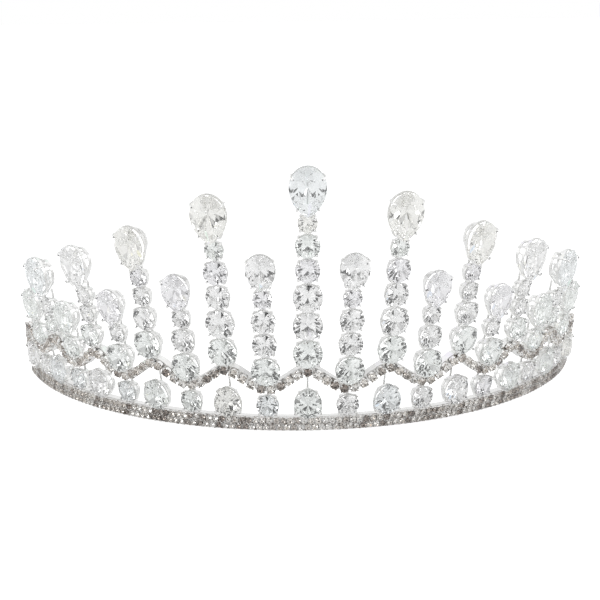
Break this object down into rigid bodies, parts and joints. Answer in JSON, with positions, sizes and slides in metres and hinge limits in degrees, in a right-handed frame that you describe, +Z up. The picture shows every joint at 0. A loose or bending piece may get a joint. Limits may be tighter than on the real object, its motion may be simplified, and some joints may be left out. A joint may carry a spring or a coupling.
{
  "type": "bridal tiara",
  "caption": "Half-round bridal tiara: stone-set base band, scalloped gallery and graduated spikes of round stones topped with pears.",
  "frame": {"origin": "on the underside of the base band, at the middle of the front, half-way through the band's thickness", "axes": "+Z up towards the spike tips, -Y the way the tiara faces, +X to the viewer's right along its width"},
  "size_m": [0.128, 0.0808, 0.0575],
  "materials": {
    "plated_metal": "bright rhodium-coloured plating, polished",
    "clear_stone": "clear faceted cubic zirconia, polished",
    "rhinestone": "small foil-backed faceted rhinestone, polished"
  },
  "bodies": {
    "root": {"arch_pear_settings": "plated_metal", "arch_pears": "clear_stone", "arch_pins": "plated_metal", "arch_round_settings": "plated_metal", "arch_rounds": "clear_stone", "band_cups_lower": "plated_metal", "band_cups_upper": "plated_metal", "band_stones_lower": "rhinestone", "band_stones_upper": "rhinestone", "base_band": "plated_metal", "centre_spike_frame": "plated_metal", "centre_spike_stones": "clear_stone", "left_eyelet": "plated_metal", "left_spike_1_frame": "plated_metal", "left_spike_1_stones": "clear_stone", "left_spike_2_frame": "plated_metal", "left_spike_2_stones": "clear_stone", "left_spike_3_frame": "plated_metal", "left_spike_3_stones": "clear_stone", "left_spike_4_frame": "plated_metal", "left_spike_4_stones": "clear_stone", "left_spike_5_frame": "plated_metal", "left_spike_5_stones": "clear_stone", "left_spike_6_frame": "plated_metal", "left_spike_6_stones": "clear_stone", "left_spike_7_frame": "plated_metal", "left_spike_7_stones": "clear_stone", "left_spike_8_frame": "plated_metal", "left_spike_8_stones": "clear_stone", "left_spike_9_frame": "plated_metal", "left_spike_9_stones": "clear_stone", "right_eyelet": "plated_metal", "right_spike_1_frame": "plated_metal", "right_spike_1_stones": "clear_stone", "right_spike_2_frame": "plated_metal", "right_spike_2_stones": "clear_stone", "right_spike_3_frame": "plated_metal", "right_spike_3_stones": "clear_stone", "right_spike_4_frame": "plated_metal", "right_spike_4_stones": "clear_stone", "right_spike_5_frame": "plated_metal", "right_spike_5_stones": "clear_stone", "right_spike_6_frame": "plated_metal", "right_spike_6_stones": "clear_stone", "right_spike_7_frame": "plated_metal", "right_spike_7_stones": "clear_stone", "right_spike_8_frame": "plated_metal", "right_spike_8_stones": "clear_stone", "right_spike_9_frame": "plated_metal", "right_spike_9_stones": "clear_stone", "scallop_cups": "plated_metal", "scallop_stones": "rhinestone", "scallop_strip": "plated_metal"}
  },
  "joints": []
}
